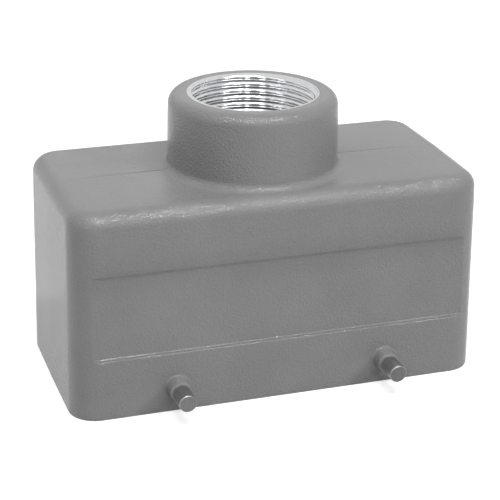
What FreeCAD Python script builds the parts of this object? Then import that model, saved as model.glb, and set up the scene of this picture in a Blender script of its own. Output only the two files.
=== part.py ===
import FreeCAD, Part
import math
import os
import re
import Sketcher

# Cable hood of a heavy duty rectangular connector with its sixteen pole male insert.
# The origin is at the middle of the hood's rim, +X runs along the hood, +Z points to the cable.
# The front long side is on -Y. The rim lies in the plane Z = 0.

V = FreeCAD.Vector

SIZES = [
    ("hood_length", 93.5, "long side of the rim"),
    ("hood_width", 46.0, "short side of the rim"),
    ("hood_height", 46.8, "rim to the ridge on the roof"),
    ("corner_radius", 6.2, "upright corners"),
    ("top_round", 3.5, "edge between walls and roof"),
    ("rim_round", 0.4, "outer edge of the rim"),
    ("end_draft", 0.9, "taper of the end walls, degrees"),
    ("side_draft", 0.2, "taper of the long walls, degrees"),
    ("parting_draft", 0.4, "fall of roof and ends away from the parting plane, degrees"),
    ("wall", 3.0, "hood wall"),
    ("roof_wall", 3.5, "hood roof"),
    ("inner_round", 2.0, "edge of the ceiling"),
    ("rebate_depth", 4.0, "rebate inside the rim"),
    ("rebate_wall", 2.2, "wall left at the rebate"),
    ("panel_low", 13.65, "lower edge of the shallow panel on the long walls"),
    ("panel_high", 32.95, "upper edge of the panel"),
    ("panel_end_room", 4.55, "ends of the panel from the ends of the rim"),
    ("panel_depth", 0.4, "depth of the panel at its lower edge"),
    ("boss_radius", 18.6, "cable boss at its rim, before rounding"),
    ("boss_height", 16.2, "cable boss above the roof ridge"),
    ("boss_draft", 1.0, "taper of the cable boss, degrees"),
    ("boss_rim_round", 2.4, "edge of the boss rim"),
    ("boss_foot_round", 1.8, "hollow round at the boss foot"),
    ("boss_foot_roll", 0.9, "outer roll of the boss foot"),
    ("boss_root", 2.6, "depth of the boss foot in the roof"),
    ("thread_radius", 14.15, "major radius of the cable thread"),
    ("thread_length", 14.0, "cable thread below its lead-in"),
    ("thread_mouth", 0.6, "lead-in at the mouth of the thread"),
    ("entry_radius", 13.4, "cable way through the roof below the thread"),
    ("peg_spacing", 47.8, "locking pegs of one side, centre to centre"),
    ("peg_rise", 5.75, "locking pegs above the rim"),
    ("peg_radius", 1.95, "locking peg"),
    ("peg_reach", 5.3, "locking peg beyond its boss"),
    ("peg_seat", 4.5, "locking peg inside its boss"),
    ("peg_shank", 1.6, "radius of the seated end of a locking peg"),
    ("peg_neck", 0.15, "shank left bare between the boss and the peg's shoulder"),
    ("peg_tip", 0.35, "chamfer of the peg tip"),
    ("peg_boss_foot", 3.0, "radius of the peg boss at the wall"),
    ("peg_boss_top", 2.45, "radius of the peg boss at its face"),
    ("peg_boss_height", 3.1, "peg boss beyond the wall"),
    ("peg_boss_sink", 0.05, "how far the flat ring at the peg boss foot lies in the wall"),
    ("peg_boss_round", 0.8, "hollow round at the peg boss foot"),
    ("peg_boss_edge", 0.4, "edge of the peg boss face"),
    ("post_offset", 7.25, "insert screws beyond the ends of the insert body"),
    ("post_span_y", 27.0, "insert screws across the hood"),
    ("post_radius", 4.4, "screw post"),
    ("post_face", 17.0, "height of the faces that carry the insert"),
    ("post_hole", 2.0, "threaded hole of a post"),
    ("post_hole_depth", 10.0, "depth of that hole"),
    ("end_room", 15.25, "ends of the insert body from the ends of the rim"),
    ("block_width", 34.0, "insert body behind the plates"),
    ("block_back", 37.0, "height of the wiring face of the insert"),
    ("block_corner", 1.5, "upright edges of the insert body"),
    ("shroud_face", 3.0, "height of the mating face of the insert"),
    ("shroud_width", 27.0, "shroud round the contact pins"),
    ("shroud_wall", 2.0, "wall of that shroud"),
    ("shroud_corner", 3.0, "corners of that shroud"),
    ("floor_height", 13.6, "height of the floor between the pins"),
    ("key_width", 3.0, "polarising ribs inside the shroud"),
    ("key_depth", 1.2, "how far the ribs stand in"),
    ("key_offset", 21.0, "place of the ribs along the shroud"),
    ("contact_count", 8, "contacts in one row"),
    ("contact_end_room", 7.0, "outermost contacts from the ends of the insert body"),
    ("row_spacing", 13.0, "row to row"),
    ("pin_radius", 1.25, "contact pin"),
    ("pin_point", 0.6, "radius of the flat end of a pin"),
    ("pin_shoulder", 1.1, "radius where the nose of a pin turns steeper"),
    ("pin_shoulder_rise", 0.5, "that place above the end of the pin"),
    ("pin_setback", 2.0, "pin tip behind the shroud face"),
    ("fit", 0.05, "clearance of a pin or thread in its hole"),
    ("terminal_length", 4.8, "terminal block along the row"),
    ("terminal_width", 8.0, "terminal block across the row"),
    ("terminal_height", 11.0, "terminal block"),
    ("terminal_lip", 1.7, "terminal block inside the pin axis"),
    ("terminal_base", 22.0, "height of the terminal block's seat"),
    ("chamber_gap", 0.1, "clearance round the terminal block"),
    ("wire_hole", 1.5, "radius of the wire hole"),
    ("wire_hole_depth", 8.0, "depth of the wire hole"),
    ("wire_hole_offset", 2.8, "wire hole outside the pin axis"),
    ("clamp_radius", 1.5, "thread of the clamp screw"),
    ("clamp_drop", 3.6, "clamp screw below the top of its block"),
    ("clamp_head", 2.1, "head of the clamp screw"),
    ("clamp_head_height", 1.4, "height of that head"),
    ("clamp_length", 3.4, "shank of the clamp screw"),
    ("driver_hole", 2.5, "radius of the screwdriver holes"),
    ("plate_thickness", 2.5, "earth plate"),
    ("plate_length", 12.25, "earth plate along the hood"),
    ("plate_tongue", 1.5, "earth plate inside the insert body"),
    ("blade_thickness", 1.5, "earth blade"),
    ("blade_width", 8.0, "earth blade"),
    ("blade_offset", 3.0, "earth blade from the end of the insert body"),
    ("blade_setback", 2.0, "earth blade behind the shroud face"),
    ("saddle_length", 7.5, "earth terminal along the hood"),
    ("saddle_width", 9.0, "earth terminal across the hood"),
    ("saddle_height", 8.0, "earth terminal"),
    ("saddle_offset", 1.0, "earth terminal from the end of the insert body"),
    ("saddle_hole", 2.2, "radius of its wire hole"),
    ("saddle_hole_offset", 3.0, "that hole from the inner face"),
    ("saddle_hole_depth", 6.5, "depth of that hole"),
    ("earth_radius", 2.0, "thread of the earth screw"),
    ("earth_head", 3.2, "head of the earth screw"),
    ("earth_head_height", 1.8, "height of that head"),
    ("earth_length", 4.2, "shank of the earth screw"),
    ("fixing_head", 3.5, "head of a fixing screw"),
    ("fixing_head_height", 2.6, "height of that head"),
    ("fixing_length", 11.4, "shank of a fixing screw"),
    ("washer_radius", 3.4, "spring washer"),
    ("washer_thickness", 0.9, "spring washer"),
    ("screw_hole_play", 0.15, "screw hole round its screw"),
    ("slot_width", 0.8, "screwdriver slots"),
    ("slot_depth", 0.8, "screwdriver slots"),
]

# Lengths that follow from the sizes above
FOLLOWING = [
    ("panel_length", "hood_length-2*panel_end_room"),
    ("block_length", "hood_length-2*end_room"),
    ("post_span_x", "block_length+2*post_offset"),
    ("contact_pitch", "(block_length-2*contact_end_room)/(contact_count-1)"),
]

doc = FreeCAD.newDocument("connector_hood")
sheet = doc.addObject("Spreadsheet::Sheet", "sizes")
for row, (alias, value, note) in enumerate(SIZES, start=1):
    sheet.set(f"A{row}", alias)
    sheet.set(f"B{row}", str(value))
    sheet.set(f"C{row}", note)
    sheet.setAlias(f"B{row}", alias)
doc.recompute()
NAMED = {alias: f"sizes.{alias}" for alias, _, _ in SIZES}


def formula(text):
    """Turns a formula in plain size names into one that reads the sheet."""
    return re.sub(r"[a-z_]+", lambda word: NAMED.get(word.group(), word.group()), str(text))


for name, text in FOLLOWING:
    NAMED[name] = f"({formula(text)})"


def value_of(text):
    """Works a formula out with the sizes as they are now."""
    return float(sheet.evalExpression(formula(text)))


def bind(item, formulas):
    """Ties properties of an object to formulas."""
    for path, text in formulas.items():
        item.setExpression(path, formula(text))
    return item


def place(item, x="0", y="0", z="0", turn=None):
    """Turns an object and ties its position to formulas."""
    if turn is not None:
        item.Placement = FreeCAD.Placement(V(0, 0, 0), turn)
    return bind(item, {"Placement.Base.x": x, "Placement.Base.y": y, "Placement.Base.z": z})


def box(name, x, y, z):
    """A box between two heights or places along each axis, each pair given as formulas."""
    item = doc.addObject("Part::Box", name)
    spans = {"Length": x, "Width": y, "Height": z}
    bind(item, {side: f"({high})-({low})" for side, (low, high) in spans.items()})
    return place(item, x[0], y[0], z[0])


def cylinder(name, radius, length, x="0", y="0", z="0", turn=None):
    """A cylinder that starts at a place and runs along its turned Z axis."""
    item = bind(doc.addObject("Part::Cylinder", name), {"Radius": radius, "Height": length})
    return place(item, x, y, z, turn)


def joined(name, pieces):
    """One solid from several that overlap or touch."""
    item = doc.addObject("Part::MultiFuse", name)
    item.Shapes = pieces
    item.Refine = True
    return item


def cut(name, base, tools):
    """A solid with one or more tools taken away."""
    item = doc.addObject("Part::Cut", name)
    item.Base = base
    item.Tool = tools[0] if len(tools) == 1 else joined(f"{name}_tools", tools)
    item.Refine = True
    return item


def group(name, pieces):
    """Several separate solids kept as one group."""
    item = doc.addObject("Part::Compound", name)
    item.Links = pieces
    return item


def new_sketch(body, name, role, offset=None):
    """A sketch on one of the body's own planes, moved along its normal by a formula."""
    plane = next(o for o in body.Origin.OriginFeatures if o.Role == role)
    sketch = body.newObject("Sketcher::SketchObject", name)
    sketch.AttachmentSupport = [(plane, "")]
    sketch.MapMode = "FlatFace"
    if offset:
        bind(sketch, {"AttachmentOffset.Base.z": offset})
    return sketch


def fix_point(sketch, line, x, y):
    """Holds the first end of a sketch line at a place given by formulas."""
    for kind, axis, text in (("DistanceX", -2, x), ("DistanceY", -1, y)):
        if value_of(text) == 0:
            sketch.addConstraint(Sketcher.Constraint("PointOnObject", line, 1, axis))
            continue
        index = sketch.addConstraint(Sketcher.Constraint(kind, -1, 1, line, 1, value_of(text)))
        sketch.setExpression(f"Constraints[{index}]", formula(text))


def polygon(sketch, points):
    """Draws a closed polygon whose corners are formulas."""
    corners = [V(value_of(x), value_of(y), 0) for x, y in points]
    first = sketch.GeometryCount
    for start, end in zip(corners, corners[1:] + corners[:1]):
        sketch.addGeometry(Part.LineSegment(start, end), False)
    for i in range(len(points)):
        after = first + (i + 1) % len(points)
        sketch.addConstraint(Sketcher.Constraint("Coincident", first + i, 2, after, 1))
    for i, (x, y) in enumerate(points):
        fix_point(sketch, first + i, x, y)


def turned(name, profile):
    """A body of revolution about its own Z axis, from radius and height formulas."""
    body = doc.addObject("PartDesign::Body", name)
    sketch = new_sketch(body, f"{name}_profile", "XZ_Plane")
    polygon(sketch, profile)
    turn = body.newObject("PartDesign::Revolution", f"{name}_turn")
    turn.Profile = sketch
    turn.ReferenceAxis = (sketch, ["V_Axis"])
    turn.Angle = 360
    return body


def soften(body, kind, size, wanted):
    """Rounds or chamfers those edges of the body's last feature that a test picks."""
    doc.recompute()
    base = body.Tip
    names = [f"Edge{i}" for i, edge in enumerate(base.Shape.Edges, start=1) if wanted(edge)]
    dress = body.newObject(f"PartDesign::{kind}", f"{base.Name}_{kind.lower()}")
    dress.Base = (base, names)
    return bind(dress, {"Radius" if kind == "Fillet" else "Size": size})


def ring_at(radius, height):
    """A test for the circular edge of a given radius and height."""

    def test(edge):
        curve = edge.Curve
        return (
            isinstance(curve, Part.Circle)
            and abs(curve.Radius - value_of(radius)) < 0.01
            and abs(curve.Center.z - value_of(height)) < 0.01
        )

    return test


def rounded_outline(sketch, length, width, radius):
    """Draws a rectangle with rounded corners about the sketch's origin."""
    half_x, half_y, corner = value_of(length) / 2, value_of(width) / 2, value_of(radius)
    flat_x, flat_y = half_x - corner, half_y - corner
    sides = [
        (V(-flat_x, -half_y, 0), V(flat_x, -half_y, 0)),
        (V(half_x, -flat_y, 0), V(half_x, flat_y, 0)),
        (V(flat_x, half_y, 0), V(-flat_x, half_y, 0)),
        (V(-half_x, flat_y, 0), V(-half_x, -flat_y, 0)),
    ]
    centres = [
        V(flat_x, -flat_y, 0),
        V(flat_x, flat_y, 0),
        V(-flat_x, flat_y, 0),
        V(-flat_x, -flat_y, 0),
    ]
    for i, (start, end) in enumerate(sides):
        sketch.addGeometry(Part.LineSegment(start, end), False)
        bow = Part.Circle(centres[i], V(0, 0, 1), corner)
        sketch.addGeometry(Part.ArcOfCircle(bow, math.pi / 2 * (i - 1), math.pi / 2 * i), False)
    for i in range(4):
        line, arc, after = 2 * i, 2 * i + 1, (2 * i + 2) % 8
        sketch.addConstraint(Sketcher.Constraint("Tangent", line, 2, arc, 1))
        sketch.addConstraint(Sketcher.Constraint("Tangent", arc, 2, after, 1))
        if i:
            sketch.addConstraint(Sketcher.Constraint("Equal", 1, arc))
    sketch.addConstraint(Sketcher.Constraint("Horizontal", 0))
    sketch.addConstraint(Sketcher.Constraint("Symmetric", 0, 1, 4, 1, -1, 1))
    measures = [
        (Sketcher.Constraint("DistanceY", 0, 1, 4, 1, 2 * half_y), width),
        (Sketcher.Constraint("DistanceX", 6, 1, 2, 1, 2 * half_x), length),
        (Sketcher.Constraint("Radius", 1, corner), radius),
    ]
    for measure, text in measures:
        index = sketch.addConstraint(measure)
        sketch.setExpression(f"Constraints[{index}]", formula(text))


def half_outline(sketch, length, width, radius):
    """Draws the half of a hood outline behind the parting plane, its ends leaning inwards."""
    lean = math.radians(value_of("parting_draft"))
    half_x, half_y, corner = value_of(length) / 2, value_of(width) / 2, value_of(radius)
    centre_y = half_y - corner
    centre_x = half_x - centre_y * math.tan(lean) - corner / math.cos(lean)
    near = V(centre_x + corner * math.cos(lean), centre_y + corner * math.sin(lean), 0)
    far = V(centre_x, half_y, 0)
    quarter = (lean, math.pi / 2)
    bows = [Part.Circle(V(x, centre_y, 0), V(0, 0, 1), corner) for x in (centre_x, -centre_x)]
    sketch.addGeometry(
        [
            Part.LineSegment(V(-half_x, 0, 0), V(half_x, 0, 0)),
            Part.LineSegment(V(half_x, 0, 0), near),
            Part.ArcOfCircle(bows[0], *quarter),
            Part.LineSegment(far, V(-far.x, far.y, 0)),
            Part.ArcOfCircle(bows[1], math.pi / 2, math.pi - lean),
            Part.LineSegment(V(-near.x, near.y, 0), V(-half_x, 0, 0)),
        ],
        False,
    )
    for first, second in ((1, 2), (2, 3), (3, 4), (4, 5)):
        sketch.addConstraint(Sketcher.Constraint("Tangent", first, 2, second, 1))
    sketch.addConstraint(Sketcher.Constraint("Coincident", 0, 2, 1, 1))
    sketch.addConstraint(Sketcher.Constraint("Coincident", 5, 2, 0, 1))
    sketch.addConstraint(Sketcher.Constraint("PointOnObject", 0, 1, -1))
    sketch.addConstraint(Sketcher.Constraint("Symmetric", 0, 1, 0, 2, -1, 1))
    sketch.addConstraint(Sketcher.Constraint("Symmetric", 3, 1, 3, 2, -2))
    sketch.addConstraint(Sketcher.Constraint("Equal", 2, 4))
    measures = [
        (Sketcher.Constraint("DistanceX", 0, 1, 0, 2, 2 * half_x), length),
        (Sketcher.Constraint("DistanceY", -1, 1, 3, 1, half_y), f"({width})/2"),
        (Sketcher.Constraint("Radius", 2, corner), radius),
        (Sketcher.Constraint("Angle", 1, math.pi / 2 + lean), "90+parting_draft"),
    ]
    for measure, text in measures:
        index = sketch.addConstraint(measure)
        sketch.setExpression(f"Constraints[{index}]", formula(text))


def half_shell(name, inset, radius, low, high):
    """Half of a drafted block with the hood's plan, set in by a formula, open at the top."""
    body = doc.addObject("PartDesign::Body", name)
    sketches = []
    for level, height in (("low", low), ("high", high)):
        sketch = new_sketch(body, f"{name}_{level}", "XY_Plane", height)
        half_outline(
            sketch,
            f"hood_length-2*({inset})-2*({height})*tan(end_draft)",
            f"hood_width-2*({inset})-2*({height})*tan(side_draft)",
            radius,
        )
        sketches.append(sketch)
    loft = body.newObject("PartDesign::AdditiveLoft", f"{name}_loft")
    loft.Profile = sketches[0]
    loft.Sections = sketches[1:]
    loft.Ruled = True
    return body


def slope_roof(body, ridge):
    """Cuts the top of a half block along a roof plane that falls away from the parting plane."""
    sketch = new_sketch(body, f"{body.Name}_slope", "YZ_Plane")
    fall = f"{ridge}-hood_width*tan(parting_draft)"
    top = f"{ridge}+2*top_round"
    polygon(sketch, [("0", ridge), ("hood_width", fall), ("hood_width", top), ("0", top)])
    pocket = body.newObject("PartDesign::Pocket", f"{body.Name}_roof")
    pocket.Profile = sketch
    pocket.Type = "ThroughAll"
    pocket.Midplane = True


def roof_edge(ridge):
    """A test for the edges between the walls and the sloped roof of a half block."""

    def test(edge):
        bounds = edge.BoundBox
        return bounds.ZMin > value_of(ridge) - 1 and bounds.YMax > 0.001

    return test


def rim_edge(edge):
    """Picks the outer edges of the rim of a half block."""
    return edge.BoundBox.ZMax < 0.001 and edge.BoundBox.YMax > 0.001


def mirrored(name, source, normal=V(0, 1, 0)):
    """The other hand of an object."""
    item = doc.addObject("Part::Mirroring", name)
    item.Source = source
    item.Normal = normal
    return item


def whole(name, half):
    """Both halves of a block joined on the parting plane."""
    other = mirrored(f"{name}_far", half)
    item = doc.addObject("Part::Fuse", name)
    item.Base, item.Tool = half, other
    return item


# Hood shell: a drafted box, made as two halves that meet on the parting plane
outer_half = half_shell("outer_half", "0", "corner_radius", "0", "hood_height+top_round")
slope_roof(outer_half, "hood_height")
soften(outer_half, "Fillet", "top_round", roof_edge("hood_height"))
soften(outer_half, "Fillet", "rim_round", rim_edge)
outer_block = whole("outer_block", outer_half)

inner_ridge = "hood_height-roof_wall"
inner_top = f"{inner_ridge}+top_round"
inner_half = half_shell("inner_half", "wall", "corner_radius-wall", "0", inner_top)
slope_roof(inner_half, inner_ridge)
soften(inner_half, "Fillet", "inner_round", roof_edge(inner_ridge))
inner_block = whole("inner_block", inner_half)

rebate = doc.addObject("PartDesign::Body", "rim_rebate")
rebate_sketch = new_sketch(rebate, "rebate_outline", "XY_Plane")
rounded_outline(
    rebate_sketch,
    "hood_length-2*rebate_wall",
    "hood_width-2*rebate_wall",
    "corner_radius-rebate_wall",
)
rebate_pad = rebate.newObject("PartDesign::Pad", "rebate_pad")
rebate_pad.Profile = rebate_sketch
bind(rebate_pad, {"Length": "rebate_depth"})

# Cable boss: tapered, round at its rim, hollow at its foot
boss_top = "hood_height+boss_height"
boss_foot = "boss_radius+boss_height*tan(boss_draft)"
foot_reach = f"{boss_foot}+boss_foot_round+boss_foot_roll"
boss = turned(
    "cable_boss",
    [
        ("0", "hood_height-boss_root"),
        (foot_reach, "hood_height-boss_root"),
        (foot_reach, "hood_height"),
        (boss_foot, "hood_height"),
        ("boss_radius", boss_top),
        ("0", boss_top),
    ],
)
soften(boss, "Fillet", "boss_rim_round", ring_at("boss_radius", boss_top))
soften(boss, "Fillet", "boss_foot_round", ring_at(boss_foot, "hood_height"))
soften(boss, "Fillet", "boss_foot_roll", ring_at(foot_reach, "hood_height"))

# Screw posts: round, webbed to the end wall and to the long wall beside them
ceiling = "hood_height-roof_wall/2"
web_end = "hood_length/2-wall/2-hood_height*tan(end_draft)"
web_side = "hood_width/2-wall/2-hood_height*tan(side_draft)"
post_x, post_y = "post_span_x/2", "post_span_y/2"
post_height = ("post_face", ceiling)
post_side = [(f"{post_x}-post_radius", f"{post_x}+post_radius"), (post_y, web_side)]
post_end = [(post_x, web_end), (f"{post_y}-post_radius", f"{post_y}+post_radius")]
first_post = joined(
    "post_first",
    [
        cylinder("post_round", "post_radius", f"{ceiling}-post_face", post_x, post_y, "post_face"),
        box("post_side_web", *post_side, post_height),
        box("post_end_web", *post_end, post_height),
    ],
)
posts = [first_post, mirrored("post_second", first_post)]
posts += [mirrored(f"{post.Name}_far", post, V(1, 0, 0)) for post in list(posts)]
post_holes = []
for i, (sign_x, sign_y) in enumerate(((1, 1), (1, -1), (-1, 1), (-1, -1))):
    centre = (f"{sign_x}*{post_x}", f"{sign_y}*{post_y}", "post_face")
    post_holes.append(cylinder(f"post_hole_{i}", "post_hole", "post_hole_depth", *centre))

# Peg bosses and their holes, two on each long wall
PEGS = [
    ("peg_front_left", -1, -1),
    ("peg_front_right", 1, -1),
    ("peg_back_left", -1, 1),
    ("peg_back_right", 1, 1),
]
peg_wall = "hood_width/2-peg_rise*tan(side_draft)"
flare = "peg_boss_foot+peg_boss_round+peg_boss_edge"
peg_bosses = []
peg_holes = []
for label, sign_x, sign_y in PEGS:
    knob = turned(
        f"{label}_boss",
        [
            ("0", "-wall/2"),
            (flare, "-wall/2"),
            (flare, "-peg_boss_sink"),
            ("peg_boss_foot", "-peg_boss_sink"),
            ("peg_boss_top", "peg_boss_height"),
            ("0", "peg_boss_height"),
        ],
    )
    soften(knob, "Fillet", "peg_boss_round", ring_at("peg_boss_foot", "-peg_boss_sink"))
    soften(knob, "Fillet", "peg_boss_edge", ring_at("peg_boss_top", "peg_boss_height"))
    out = FreeCAD.Rotation(V(1, 0, 0), -90 * sign_y)
    x = f"{sign_x}*peg_spacing/2"
    place(knob, x, f"{sign_y}*({peg_wall})", "peg_rise", out)
    peg_bosses.append(knob)
    y = f"{sign_y}*({peg_wall}+peg_boss_height-peg_seat)"
    peg_holes.append(
        cylinder(f"{label}_hole", "peg_shank", "peg_seat+peg_reach", x, y, "peg_rise", out)
    )

# Shallow panels on both long walls
panel_floor = "hood_width/2-panel_low*tan(side_draft)-panel_depth"
panel_x = ("-panel_length/2", "panel_length/2")
panel_z = ("panel_low", "panel_high")
panels = [
    box("panel_front", panel_x, ("-hood_width", f"-({panel_floor})"), panel_z),
    box("panel_back", panel_x, (panel_floor, "hood_width"), panel_z),
]

# Cable entry: a plain bore at the thread's major radius, a lead-in at its mouth and a
# narrower way through the roof
thread_end = f"{boss_top}-thread_mouth-thread_length"
bore = cylinder("cable_bore", "thread_radius", "thread_length+thread_mouth", z=thread_end)
entry_low = "hood_height-roof_wall-inner_round"
entry = cylinder("cable_way", "entry_radius", f"{thread_end}-({entry_low})+thread_mouth", z=entry_low)
mouth = bind(
    doc.addObject("Part::Cone", "cable_mouth"),
    {
        "Radius1": "thread_radius",
        "Radius2": "thread_radius+thread_mouth",
        "Height": "thread_mouth",
    },
)
place(mouth, z=f"{boss_top}-thread_mouth")

hollow = cut("hood_hollow", outer_block, [inner_block, rebate, *panels])
solid_hood = joined("hood_solid", [hollow, boss, *posts, *peg_bosses])
cut("hood_casting", solid_hood, [bore, mouth, entry, *post_holes, *peg_holes])

# Locking pegs: turned steel pins whose shanks are pressed into the peg bosses
for label, sign_x, sign_y in PEGS:
    peg = turned(
        label,
        [
            ("0", "0"),
            ("peg_shank", "0"),
            ("peg_shank", "peg_seat+peg_neck"),
            ("peg_radius", "peg_seat+peg_neck"),
            ("peg_radius", "peg_seat+peg_reach-peg_tip"),
            ("peg_radius-peg_tip", "peg_seat+peg_reach"),
            ("0", "peg_seat+peg_reach"),
        ],
    )
    y = f"{sign_y}*({peg_wall}+peg_boss_height-peg_seat)"
    turn = FreeCAD.Rotation(V(1, 0, 0), -90 * sign_y)
    place(peg, f"{sign_x}*peg_spacing/2", y, "peg_rise", turn)

# Insert body: shroud on the mating side, terminal block behind it
plate_low = "post_face-plate_thickness"


def rounded_block(name, length, width, radius, low, high):
    """An upright block with rounded corners between two heights."""
    body = doc.addObject("PartDesign::Body", name)
    sketch = new_sketch(body, f"{name}_outline", "XY_Plane", low)
    rounded_outline(sketch, length, width, radius)
    pad = body.newObject("PartDesign::Pad", f"{name}_pad")
    pad.Profile = sketch
    bind(pad, {"Length": f"({high})-({low})"})
    return body


shroud_plan = ("block_length", "shroud_width", "shroud_corner")
shroud = rounded_block("shroud", *shroud_plan, "shroud_face", "post_face")
rear_plan = ("block_length", "block_width", "block_corner")
rear = rounded_block("rear_block", *rear_plan, plate_low, "block_back")
recess = rounded_block(
    "shroud_recess",
    "block_length-2*shroud_wall",
    "shroud_width-2*shroud_wall",
    "shroud_corner-shroud_wall",
    "shroud_face",
    "floor_height",
)
key_y = ("shroud_width/2-shroud_wall-key_depth", "shroud_width/2-shroud_wall/2")
keys = []
for i, sign in enumerate((-1, 1)):
    key_x = (f"{sign}*key_offset-key_width/2", f"{sign}*key_offset+key_width/2")
    keys.append(box(f"key_{i}", key_x, key_y, ("shroud_face", "floor_height")))

terminal_inner = "row_spacing/2-terminal_lip"
terminal_outer = f"{terminal_inner}+terminal_width"
clamp_z = "terminal_base+terminal_height-clamp_drop"
wire_y = "row_spacing/2+wire_hole_offset"
clamp_depth = f"{terminal_outer}-({wire_y})"
driver_depth = f"block_width/2-({terminal_outer})"
pin_hole_depth = "terminal_base-shroud_face"
terminal_top = "terminal_base+terminal_height"
pin_tip = "shroud_face+pin_setback"
pin_head = "terminal_base+pin_radius"


def both(sign, low, high):
    """A span and its mirror image, low end first."""
    return (low, high) if sign > 0 else (f"-({high})", f"-({low})")


chambers = []
contacts = []
clamps = []
count = int(value_of("contact_count"))
for row_index, sign in enumerate((-1, 1)):
    inward = FreeCAD.Rotation(V(1, 0, 0), 90 * sign)
    outer_y, face_y = f"{sign}*({terminal_outer})", f"{sign}*block_width/2"
    for i in range(count):
        number = row_index * count + i + 1
        x = f"({i}-(contact_count-1)/2)*contact_pitch"
        pin_y = f"{sign}*row_spacing/2"
        tag = f"{number:02d}"
        along = (f"{x}-terminal_length/2", f"{x}+terminal_length/2")
        across = both(sign, terminal_inner, terminal_outer)
        roomy = both(sign, f"{terminal_inner}-chamber_gap", f"{terminal_outer}+chamber_gap")
        roomy_x = (f"{along[0]}-chamber_gap", f"{along[1]}+chamber_gap")
        chambers += [
            box(f"chamber_{tag}", roomy_x, roomy, ("terminal_base", "block_back")),
            cylinder(f"pin_hole_{tag}", "pin_radius+fit", pin_hole_depth, x, pin_y, "shroud_face"),
            cylinder(f"driver_hole_{tag}", "driver_hole", driver_depth, x, face_y, clamp_z, inward),
        ]
        pin = turned(
            f"pin_{tag}",
            [
                ("0", pin_tip),
                ("pin_point", pin_tip),
                ("pin_shoulder", f"{pin_tip}+pin_shoulder_rise"),
                ("pin_radius", f"{pin_tip}+pin_radius"),
                ("pin_radius", pin_head),
                ("0", pin_head),
            ],
        )
        place(pin, x, pin_y)
        block = box(f"terminal_{tag}", along, across, ("terminal_base", terminal_top))
        wire = cylinder(
            f"wire_hole_{tag}",
            "wire_hole",
            "wire_hole_depth",
            x,
            f"{sign}*({wire_y})",
            f"{terminal_top}-wire_hole_depth",
        )
        thread = cylinder(
            f"clamp_hole_{tag}", "clamp_radius", clamp_depth, x, outer_y, clamp_z, inward
        )
        solid = joined(f"contact_solid_{tag}", [pin, block])
        contacts.append(cut(f"contact_{tag}", solid, [wire, thread]))
        clamp = turned(
            f"clamp_{tag}",
            [
                ("0", "-clamp_head_height"),
                ("clamp_head", "-clamp_head_height"),
                ("clamp_head", "0"),
                ("clamp_radius-fit", "0"),
                ("clamp_radius-fit", "clamp_length"),
                ("0", "clamp_length"),
            ],
        )
        place(clamp, x, outer_y, clamp_z, inward)
        clamps.append(clamp)

# Screwdriver slots: one cutter along each row of heads
slots = []
for i, sign in enumerate((-1, 1)):
    depth = both(sign, f"{terminal_outer}+clamp_head_height-slot_depth", "block_width")
    level = (f"{clamp_z}-slot_width/2", f"{clamp_z}+slot_width/2")
    slots.append(box(f"clamp_slot_{i}", ("-block_length/2", "block_length/2"), depth, level))
cut("terminal_screws", group("clamps", clamps), slots)

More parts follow.
